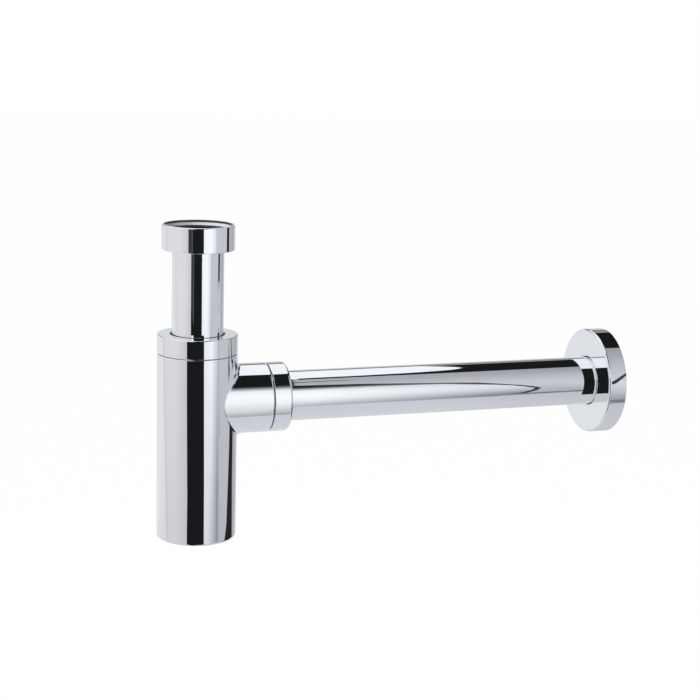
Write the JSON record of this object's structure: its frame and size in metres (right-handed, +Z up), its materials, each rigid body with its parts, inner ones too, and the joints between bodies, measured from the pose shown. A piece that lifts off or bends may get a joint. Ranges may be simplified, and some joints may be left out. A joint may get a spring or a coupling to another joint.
{
  "type": "bottle trap",
  "caption": "Chromed brass basin bottle trap with an inlet union nut, sliding dip tube, one-piece bottle, side outlet tube and wall rosette.",
  "frame": {"origin": "on the bottle's axis in the inlet's sealing plane, at the inner end of the union nut's thread", "axes": "+Z up along the bottle, out of the inlet; +X along the outlet tube, towards the wall"},
  "size_m": [0.308, 0.07, 0.198],
  "materials": {
    "chrome": "polished chrome plate",
    "gasket_rubber": "pale smooth rubber",
    "seal_rubber": "black smooth rubber",
    "slip_ring_plastic": "white moulded plastic"
  },
  "bodies": {
    "union_nut": {"union_nut": "chrome"},
    "inlet_tube": {"inlet_tube": "chrome", "union_gasket": "gasket_rubber"},
    "bottle": {"bottle_body": "chrome", "inlet_seal": "seal_rubber", "outlet_seal": "seal_rubber"},
    "inlet_slip_ring": {"inlet_slip_ring": "slip_ring_plastic"},
    "cap_nut": {"cap_nut": "chrome"},
    "outlet_slip_ring": {"outlet_slip_ring": "slip_ring_plastic"},
    "outlet_nut": {"outlet_nut": "chrome"},
    "outlet_tube": {"outlet_tube": "chrome"},
    "rosette": {"wall_rosette": "chrome", "rosette_grip_ring": "seal_rubber"}
  },
  "joints": [
    {"name": "union_swivel", "type": "hinge", "parent": "union_nut", "child": "inlet_tube", "pos_m": [0, 0, 0], "axis": [0, 0, 1], "continuous": true},
    {"name": "height_slide", "type": "slide", "parent": "inlet_tube", "child": "bottle", "axis": [0, 0, 1], "range_m": [-0.04, 0.012]},
    {"name": "cap_nut_lift", "type": "slide", "parent": "bottle", "child": "inlet_slip_ring", "axis": [0, 0, 1], "range_m": [0, 0.0061]},
    {"name": "cap_nut_turn", "type": "hinge", "parent": "inlet_slip_ring", "child": "cap_nut", "pos_m": [0, 0, -0.065], "axis": [0, 0, 1], "range_deg": [0, 1080]},
    {"name": "outlet_nut_draw", "type": "slide", "parent": "bottle", "child": "outlet_slip_ring", "axis": [1, 0, 0], "range_m": [0, 0.0061]},
    {"name": "outlet_nut_turn", "type": "hinge", "parent": "outlet_slip_ring", "child": "outlet_nut", "pos_m": [0.05, 0, -0.1015], "axis": [1, 0, 0], "range_deg": [0, 1080]},
    {"name": "outlet_reach", "type": "slide", "parent": "bottle", "child": "outlet_tube", "axis": [1, 0, 0], "range_m": [-0.009, 0.009]},
    {"name": "rosette_slide", "type": "slide", "parent": "outlet_tube", "child": "rosette", "axis": [1, 0, 0], "range_m": [-0.195, 0.005]}
  ],
  "couplings": [
    {"joint": "cap_nut_lift", "follows": "cap_nut_turn", "m_per_rad": 0.00031831},
    {"joint": "outlet_nut_draw", "follows": "outlet_nut_turn", "m_per_rad": 0.00031831}
  ]
}
